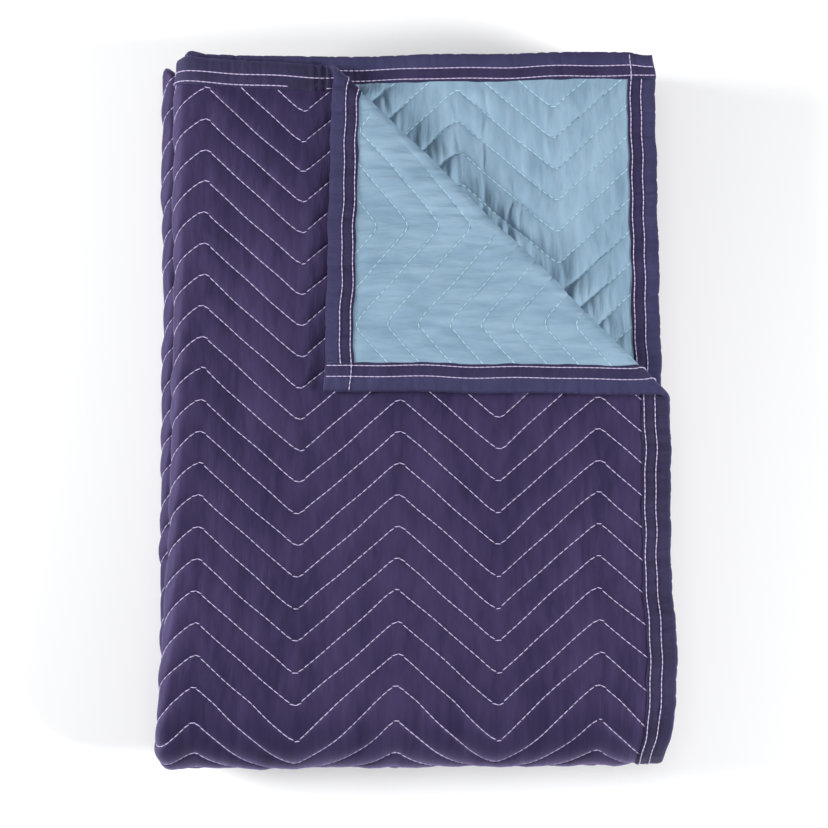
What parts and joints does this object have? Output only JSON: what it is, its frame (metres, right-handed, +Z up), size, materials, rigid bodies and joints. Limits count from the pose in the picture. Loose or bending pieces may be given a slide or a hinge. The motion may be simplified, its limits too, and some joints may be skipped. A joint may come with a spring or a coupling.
{
  "type": "folded moving blanket",
  "caption": "Quilted moving blanket folded into a flat pile, its top corner turned back to show the lighter reverse.",
  "frame": {"origin": "centre of the pile's footprint, on the surface that it rests on", "axes": "+Z up, +Y along the pile towards its bound end, +X towards its bound side"},
  "size_m": [0.3404, 0.4684, 0.073],
  "materials": {
    "face_navy": "smooth woven navy-violet fabric with a faint sheen",
    "back_sky": "smooth woven light blue fabric with a faint sheen",
    "binding_navy": "dull navy woven tape",
    "thread": "pale lilac stitching thread on the face and the binding",
    "back_thread": "pale blue stitching thread on the back"
  },
  "bodies": {
    "root": {"face_cloth": "face_navy", "back_cloth": "back_sky", "binding_right_side": "binding_navy", "binding_left_side": "binding_navy", "binding_face_end": "binding_navy", "binding_back_end": "binding_navy"}
  },
  "joints": []
}
